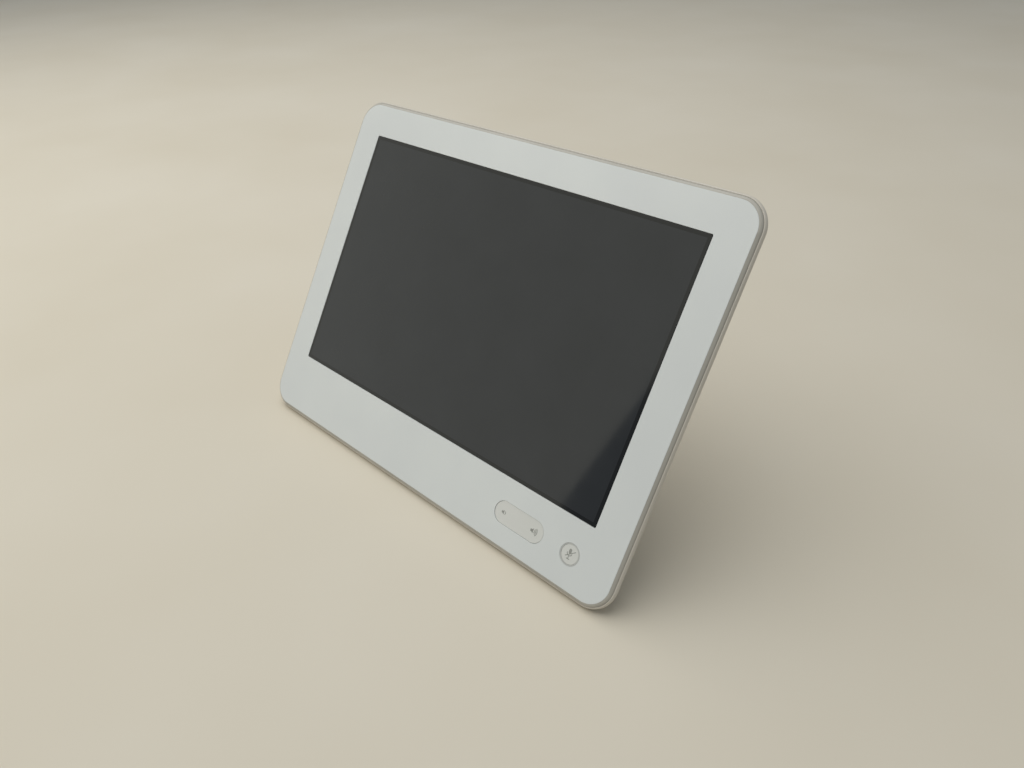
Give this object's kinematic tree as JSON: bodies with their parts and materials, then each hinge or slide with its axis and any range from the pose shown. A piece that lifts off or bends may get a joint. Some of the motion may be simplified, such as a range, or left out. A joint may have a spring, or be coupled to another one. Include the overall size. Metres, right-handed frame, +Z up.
{
  "type": "tabletop touch control panel",
  "caption": "Tabletop touch display in a white case with a thin grey edge, leaning back on a fixed stand, with a rocking volume button and a round mute button below the screen",
  "frame": {"origin": "on the table, under the middle of the object's length and depth", "axes": "+X to the viewer's right along the screen's longer side, +Y to the back, +Z up; the screen faces -Y and leans back"},
  "size_m": [0.2566, 0.122, 0.1617],
  "materials": {
    "white_plastic": "moulded, smooth satin gloss",
    "grey_trim": "moulded, satin",
    "screen_glass": "cover glass with a dark border print",
    "display_cell": "switched-off LCD cell",
    "foam": "closed-cell foam",
    "backlight_stack": "acrylic light guide in a white tray",
    "sheet_steel": "pressed plated sheet",
    "jack_shield": "tinned sheet shield",
    "screw_steel": "zinc plated",
    "circuit_board": "green solder mask",
    "switch_body": "moulded",
    "led": "clear resin",
    "light_guide": "frosted polycarbonate, unlit",
    "flex_film": "polyimide film",
    "shell_plastic": "moulded, fine texture",
    "rubber": "moulded silicone",
    "label_film": "blank printed film"
  },
  "bodies": {
    "panel": {"front_bezel": "white_plastic", "edge_trim": "grey_trim", "touch_glass": "screen_glass", "display_gasket": "foam", "lcd_panel": "display_cell", "backlight_unit": "backlight_stack", "chassis_plate": "sheet_steel", "main_board": "circuit_board", "shield_can": "sheet_steel", "network_jack": "jack_shield", "mute_light_ring": "light_guide", "button_board": "circuit_board", "volume_down_switch": "switch_body", "volume_up_switch": "switch_body", "mute_switch": "switch_body", "mute_led": "led", "display_flex": "flex_film", "touch_flex": "flex_film", "button_flex": "flex_film", "rear_shell": "shell_plastic", "connector_cover": "shell_plastic", "rating_label": "label_film", "stand_leg": "shell_plastic", "stand_base": "shell_plastic", "shell_screw_1": "screw_steel", "shell_screw_2": "screw_steel", "shell_screw_3": "screw_steel", "shell_screw_4": "screw_steel", "shell_screw_5": "screw_steel", "button_board_screw_1": "screw_steel", "button_board_screw_2": "screw_steel", "chassis_screw_1": "screw_steel", "chassis_screw_2": "screw_steel", "chassis_screw_3": "screw_steel", "chassis_screw_4": "screw_steel", "board_screw_1": "screw_steel", "board_screw_2": "screw_steel", "board_screw_3": "screw_steel", "board_screw_4": "screw_steel", "leg_screw_1": "screw_steel", "leg_screw_2": "screw_steel", "leg_screw_3": "screw_steel", "leg_screw_4": "screw_steel", "cover_screw_1": "screw_steel", "cover_screw_2": "screw_steel", "base_screw_1": "screw_steel", "base_screw_2": "screw_steel", "rear_foot_1": "rubber", "front_foot_1": "rubber", "rear_foot_2": "rubber", "front_foot_2": "rubber"},
    "volume_rocker": {"volume_rocker": "white_plastic"},
    "mute_button": {"mute_button": "white_plastic"}
  },
  "joints": [
    {"name": "volume_rock", "type": "hinge", "parent": "panel", "child": "volume_rocker", "pos_m": [0.0704, -0.04948, 0.01634], "axis": [0, 0.5373, 0.8434], "range_deg": [-1.8, 1.8], "stiffness_Nm_per_rad": 0.5},
    {"name": "mute_press", "type": "slide", "parent": "panel", "child": "mute_button", "axis": [0, 0.8434, -0.5373], "range_m": [0, 0.0005], "stiffness_N_per_m": 3000}
  ]
}
